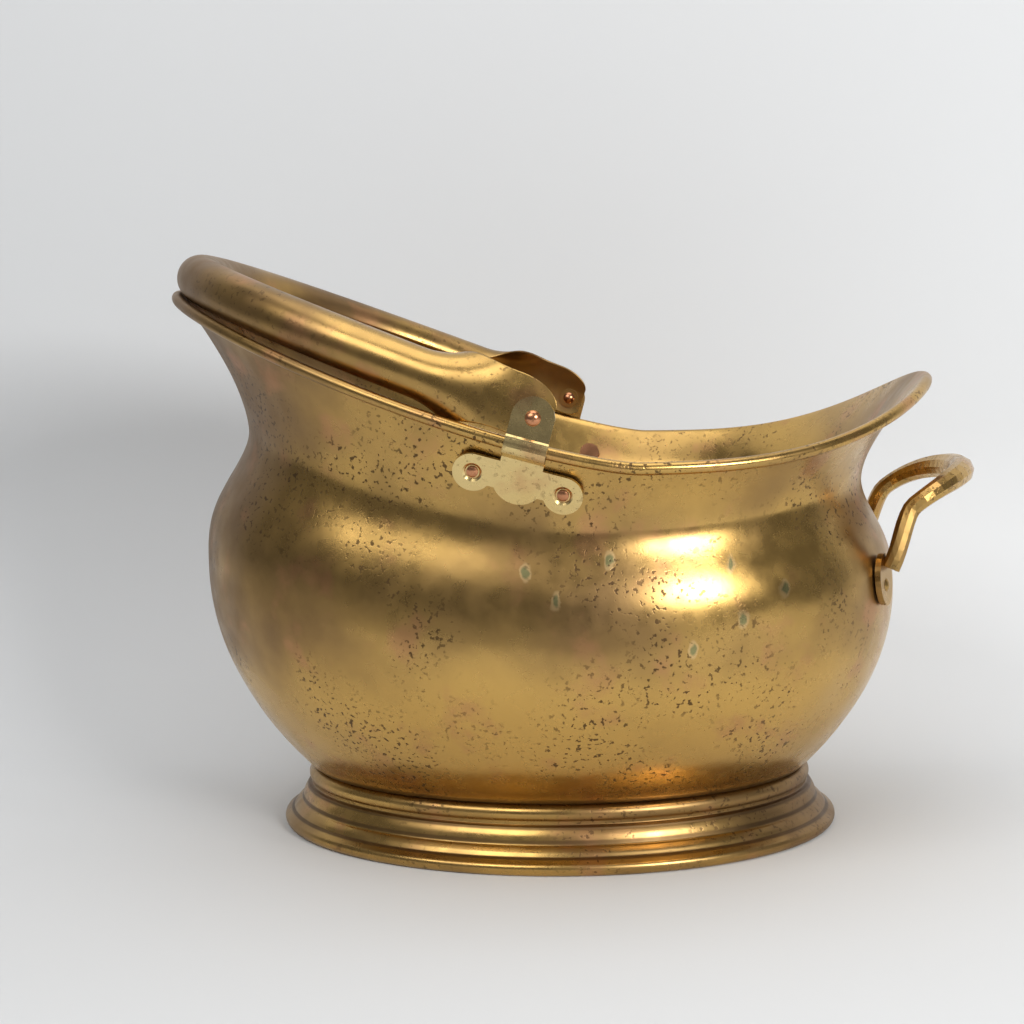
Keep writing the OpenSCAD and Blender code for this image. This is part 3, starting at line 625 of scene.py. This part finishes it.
def aged_group(name, gold, brown, shade_band_heights, drips):
    """Colour, roughness and height of aged metal; painted shade lies in dark bands at the given heights and half
    widths.
    """
    tree = bpy.data.node_groups.new(name, "ShaderNodeTree")
    for title in ("Brown", "Specks", "Painted Floor Reflection"):
        tree.interface.new_socket(title, in_out="INPUT", socket_type="NodeSocketFloat")
    tree.interface.new_socket("Color", in_out="OUTPUT", socket_type="NodeSocketColor")
    for title in ("Roughness", "Height"):
        tree.interface.new_socket(title, in_out="OUTPUT", socket_type="NodeSocketFloat")
    given = tree.nodes.new("NodeGroupInput").outputs
    where = put(tree, "TexCoord", {}).outputs["Object"]
    x, y, z = put(tree, "SeparateXYZ", {0: where}).outputs
    stains = calc(tree, "MULTIPLY", calc(tree, "SUBTRACT", noise(tree, where, 11, 6.0), 0.5), 1.8)
    # Painted reflection: below the belly's widest line the brass is made golden, as if it mirrored the bright floor.
    low = calc(tree, "MULTIPLY", share(tree, z, 0.125, 0.085), given["Painted Floor Reflection"])
    # Painted shade with some real staining: the side towards the lip is made browner, as the brass there mirrors the
    # dim room.
    lip_stain_and_shade = calc(tree, "MULTIPLY", share(tree, x, -0.09, -0.20), 0.35)
    amount = calc(tree, "ADD", calc(tree, "ADD", given["Brown"], stains), lip_stain_and_shade)
    amount = calc(tree, "SUBTRACT", amount, calc(tree, "MULTIPLY", low, 0.45))
    colour = blend(tree, share(tree, amount, 0.0, 1.0), gold, brown)
    blotches = share(tree, noise(tree, where, 34, 4.0), 0.54, 0.70)
    colour = blend(tree, calc(tree, "MULTIPLY", blotches, 0.5), colour, ROSE)
    if drips:
        colour = add_drips(tree, where, x, y, z, colour)
    clusters = share(tree, noise(tree, where, 18, 3.0), 0.42, 0.62)
    specks_and_shade = calc(tree, "MULTIPLY", share(tree, noise(tree, where, 420, 2.0), 0.58, 0.66), clusters)
    specks_and_shade = calc(tree, "MULTIPLY", specks_and_shade, given["Specks"])
    # Painted shade: dark bands at these heights darken the creases, in the specks' dark colour.
    for height, half in shade_band_heights:
        away = calc(tree, "ABSOLUTE", calc(tree, "SUBTRACT", z, height * MM), 0.0)
        band = calc(tree, "MULTIPLY", share(tree, away, half * MM, half * MM * 0.3), 0.75)
        specks_and_shade = calc(tree, "MAXIMUM", specks_and_shade, band)
    colour = blend(tree, specks_and_shade, colour, SPECK_AND_SHADE)
    fine = calc(tree, "MULTIPLY", noise(tree, where, 90, 4.0), 0.26)
    dull = calc(tree, "MULTIPLY", calc(tree, "MAXIMUM", specks_and_shade, share(tree, amount, 0.2, 1.2)), 0.22)
    ends = tree.nodes.new("NodeGroupOutput").inputs
    tree.links.new(colour, ends["Color"])
    tree.links.new(calc(tree, "ADD", calc(tree, "ADD", fine, dull), 0.12), ends["Roughness"])
    tree.links.new(calc(tree, "SUBTRACT", noise(tree, where, 140, 3.0), specks_and_shade), ends["Height"])
    return tree


def aged_metal(name, gold, brown, amounts, shade_band_heights=(), drips=False):
    """A metal finish: the group's values drive one metallic surface, with a shallow relief."""
    made = bpy.data.materials.new(name)
    made.use_nodes = True
    tree = made.node_tree
    group = tree.nodes.new("ShaderNodeGroup")
    group.node_tree = aged_group(name + "_marks", gold, brown, shade_band_heights, drips)
    for socket, value in zip(group.inputs, amounts):
        socket.default_value = value
    relief = put(tree, "Bump", {"Height": group.outputs["Height"], "Strength": 0.12, "Distance": 0.4 * MM})
    shader = tree.nodes["Principled BSDF"]
    shader.inputs["Metallic"].default_value = 1.0
    tree.links.new(group.outputs["Color"], shader.inputs["Base Color"])
    tree.links.new(group.outputs["Roughness"], shader.inputs["Roughness"])
    tree.links.new(relief.outputs["Normal"], shader.inputs["Normal"])
    return made


# %% The finish of each piece
GOLD = (0.66, 0.41, 0.12, 1)
BROWN = (0.24, 0.145, 0.065, 1)
PALE = (0.74, 0.56, 0.25, 1)
COPPER = (0.62, 0.28, 0.14, 1)
COPPER_BROWN = (0.25, 0.10, 0.05, 1)
IRON = (0.16, 0.14, 0.12, 1)
RUST = (0.10, 0.055, 0.03, 1)
# The bowl's third amount paints the lower belly golden as a painted reflection of the floor; its band at 33.5 mm is
# painted shade where it meets the foot.
bowl_brass = aged_metal("bowl_brass", GOLD, BROWN, (0.45, 0.85, 1.0), ((33.5, 3.0),), True)
# The foot's three bands are painted shade in its grooves and cove.
foot_brass = aged_metal("foot_brass", GOLD, BROWN, (0.55, 0.7, 0.0), ((21.6, 1.8), (14.8, 1.6), (8.4, 1.0)))
bail_brass = aged_metal("bail_brass", GOLD, BROWN, (0.55, 0.6, 0.0))
bracket_brass = aged_metal("bracket_brass", PALE, GOLD, (0.25, 0.3, 0.0))
handle_brass = aged_metal("handle_brass", GOLD, BROWN, (0.35, 0.5, 0.0))
rivet_copper = aged_metal("rivet_copper", COPPER, COPPER_BROWN, (0.3, 0.4, 0.0))
iron_wire = aged_metal("iron_wire", IRON, RUST, (0.6, 0.8, 0.0))
KEPT = {"base_plate": bowl_brass, "rim_wire": iron_wire, "foot_wire": iron_wire, "tipping_handle": handle_brass}
for side in ("left", "right"):
    KEPT["bracket_" + side] = bracket_brass
    KEPT["bracket_rivets_" + side] = rivet_copper
    KEPT["pivot_rivet_" + side] = rivet_copper
    KEPT["pivot_washer_" + side] = bail_brass
    KEPT["palm_rivet_" + side] = handle_brass
for name, finish in KEPT.items():
    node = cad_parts[name]
    node.data.materials.clear()
    node.data.materials.append(finish)
print("finished", len(KEPT), "pieces of the frame")
dress(bowl, "scuttle", "bowl_brass", bowl_brass, "body_shell")
dress(foot, "scuttle", "foot_brass", foot_brass, "foot_ring")
dress(bail, "bail", "bail_brass", bail_brass, "bail_handle")
